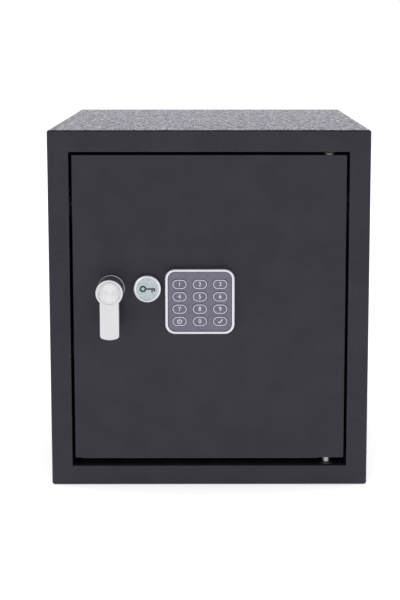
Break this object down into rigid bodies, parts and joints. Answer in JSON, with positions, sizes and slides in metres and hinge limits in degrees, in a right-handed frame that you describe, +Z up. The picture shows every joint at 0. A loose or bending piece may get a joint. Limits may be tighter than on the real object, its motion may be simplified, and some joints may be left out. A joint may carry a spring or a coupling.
{
  "type": "electronic safe",
  "caption": "Free-standing steel safe with a keypad, a lever handle, a covered override lock and concealed hinges; the door swings open on a carpeted interior with a lift-out shelf.",
  "frame": {"origin": "middle of the underside of the base, on the floor", "axes": "+X to the right seen from the front, +Y from the front to the back, +Z up"},
  "size_m": [0.345, 0.367, 0.39],
  "materials": {
    "powder_coat": "satin, fine orange peel",
    "inner_paint": "satin",
    "bright_steel": "ground, bright",
    "zinc_plate": "zinc plated, dull",
    "satin_metal": "brushed satin",
    "brass": "satin",
    "keypad_face": "satin",
    "key_plastic": "satin, printed",
    "circuit_board": "solder mask",
    "black_plastic": "fine texture",
    "cell_jacket": "printed film",
    "red_plastic": "gloss",
    "carpet": "needle felt"
  },
  "bodies": {
    "cabinet": {"body_wrap": "powder_coat", "door_frame": "powder_coat", "back_panel": "powder_coat", "floor_mat": "carpet", "shelf_rail_left": "inner_paint", "shelf_rail_right": "inner_paint", "hinge_bush_lower": "powder_coat", "hinge_bush_upper": "powder_coat"},
    "shelf": {"shelf": "inner_paint"},
    "door": {"door_panel": "powder_coat", "door_stiffener": "inner_paint", "inner_cover": "inner_paint", "hinge_block_lower": "inner_paint", "hinge_block_upper": "inner_paint", "hinge_pin_lower": "bright_steel", "hinge_pin_upper": "bright_steel", "carrier_stud_lower": "zinc_plate", "carrier_stud_upper": "zinc_plate", "lock_nut": "zinc_plate", "cover_screw_1": "zinc_plate", "cover_screw_2": "zinc_plate", "cover_screw_3": "zinc_plate", "cover_screw_4": "zinc_plate", "handle_rosette": "satin_metal", "keypad_bezel": "satin_metal", "lock_barrel": "brass", "keypad_panel": "keypad_face", "keypad_board": "circuit_board", "control_board": "circuit_board", "battery_tray": "black_plastic", "keypad_cable": "black_plastic", "solenoid_coil": "black_plastic", "battery_1": "cell_jacket", "battery_2": "cell_jacket", "battery_3": "cell_jacket", "battery_4": "cell_jacket"},
    "handle": {"handle_lever": "satin_metal", "handle_cap": "satin_metal", "handle_cam": "zinc_plate"},
    "bolt_work": {"bolt_carrier": "zinc_plate", "bolt_lower": "bright_steel", "bolt_upper": "bright_steel"},
    "solenoid_plunger": {"solenoid_plunger": "bright_steel"},
    "lock_plug": {"lock_plug": "brass", "lock_cam": "zinc_plate"},
    "badge_cover": {"badge_cover": "satin_metal"},
    "battery_cover": {"battery_cover": "black_plastic"},
    "reset_button": {"reset_button": "red_plastic"},
    "key_1": {"key_1": "key_plastic"},
    "key_2": {"key_2": "key_plastic"},
    "key_3": {"key_3": "key_plastic"},
    "key_4": {"key_4": "key_plastic"},
    "key_5": {"key_5": "key_plastic"},
    "key_6": {"key_6": "key_plastic"},
    "key_7": {"key_7": "key_plastic"},
    "key_8": {"key_8": "key_plastic"},
    "key_9": {"key_9": "key_plastic"},
    "key_power": {"key_power": "key_plastic"},
    "key_0": {"key_0": "key_plastic"},
    "key_enter": {"key_enter": "key_plastic"}
  },
  "joints": [
    {"name": "door_swing", "type": "hinge", "parent": "cabinet", "child": "door", "pos_m": [0.1285, -0.1592, 0.2195], "axis": [0, 0, 1], "range_deg": [0, 110]},
    {"name": "shelf_lift", "type": "slide", "parent": "cabinet", "child": "shelf", "axis": [0, 0, 1], "range_m": [0, 0.06]},
    {"name": "handle_turn", "type": "hinge", "parent": "door", "child": "handle", "pos_m": [-0.1055, -0.169, 0.2195], "axis": [0, 1, 0], "range_deg": [0, 90]},
    {"name": "bolt_throw", "type": "slide", "parent": "door", "child": "bolt_work", "axis": [-1, 0, 0], "range_m": [0, 0.016]},
    {"name": "plunger_lift", "type": "slide", "parent": "door", "child": "solenoid_plunger", "axis": [0, 0, 1], "range_m": [0, 0.006]},
    {"name": "lock_turn", "type": "hinge", "parent": "door", "child": "lock_plug", "pos_m": [-0.0665, -0.169, 0.2195], "axis": [0, 1, 0], "range_deg": [0, 90]},
    {"name": "badge_pull", "type": "slide", "parent": "door", "child": "badge_cover", "axis": [0, -1, 0], "range_m": [0, 0.03]},
    {"name": "battery_cover_pull", "type": "slide", "parent": "door", "child": "battery_cover", "axis": [0, 1, 0], "range_m": [0, 0.015]},
    {"name": "reset_press", "type": "slide", "parent": "door", "child": "reset_button", "axis": [0, -1, 0], "range_m": [0, 0.0018], "stiffness_N_per_m": 600},
    {"name": "key_1_press", "type": "slide", "parent": "door", "child": "key_1", "axis": [0, 1, 0], "range_m": [0, 0.0008], "stiffness_N_per_m": 1500},
    {"name": "key_2_press", "type": "slide", "parent": "door", "child": "key_2", "axis": [0, 1, 0], "range_m": [0, 0.0008], "stiffness_N_per_m": 1500},
    {"name": "key_3_press", "type": "slide", "parent": "door", "child": "key_3", "axis": [0, 1, 0], "range_m": [0, 0.0008], "stiffness_N_per_m": 1500},
    {"name": "key_4_press", "type": "slide", "parent": "door", "child": "key_4", "axis": [0, 1, 0], "range_m": [0, 0.0008], "stiffness_N_per_m": 1500},
    {"name": "key_5_press", "type": "slide", "parent": "door", "child": "key_5", "axis": [0, 1, 0], "range_m": [0, 0.0008], "stiffness_N_per_m": 1500},
    {"name": "key_6_press", "type": "slide", "parent": "door", "child": "key_6", "axis": [0, 1, 0], "range_m": [0, 0.0008], "stiffness_N_per_m": 1500},
    {"name": "key_7_press", "type": "slide", "parent": "door", "child": "key_7", "axis": [0, 1, 0], "range_m": [0, 0.0008], "stiffness_N_per_m": 1500},
    {"name": "key_8_press", "type": "slide", "parent": "door", "child": "key_8", "axis": [0, 1, 0], "range_m": [0, 0.0008], "stiffness_N_per_m": 1500},
    {"name": "key_9_press", "type": "slide", "parent": "door", "child": "key_9", "axis": [0, 1, 0], "range_m": [0, 0.0008], "stiffness_N_per_m": 1500},
    {"name": "key_power_press", "type": "slide", "parent": "door", "child": "key_power", "axis": [0, 1, 0], "range_m": [0, 0.0008], "stiffness_N_per_m": 1500},
    {"name": "key_0_press", "type": "slide", "parent": "door", "child": "key_0", "axis": [0, 1, 0], "range_m": [0, 0.0008], "stiffness_N_per_m": 1500},
    {"name": "key_enter_press", "type": "slide", "parent": "door", "child": "key_enter", "axis": [0, 1, 0], "range_m": [0, 0.0008], "stiffness_N_per_m": 1500}
  ],
  "couplings": [
    {"joint": "bolt_throw", "follows": "handle_turn", "m_per_rad": 0.010186}
  ]
}
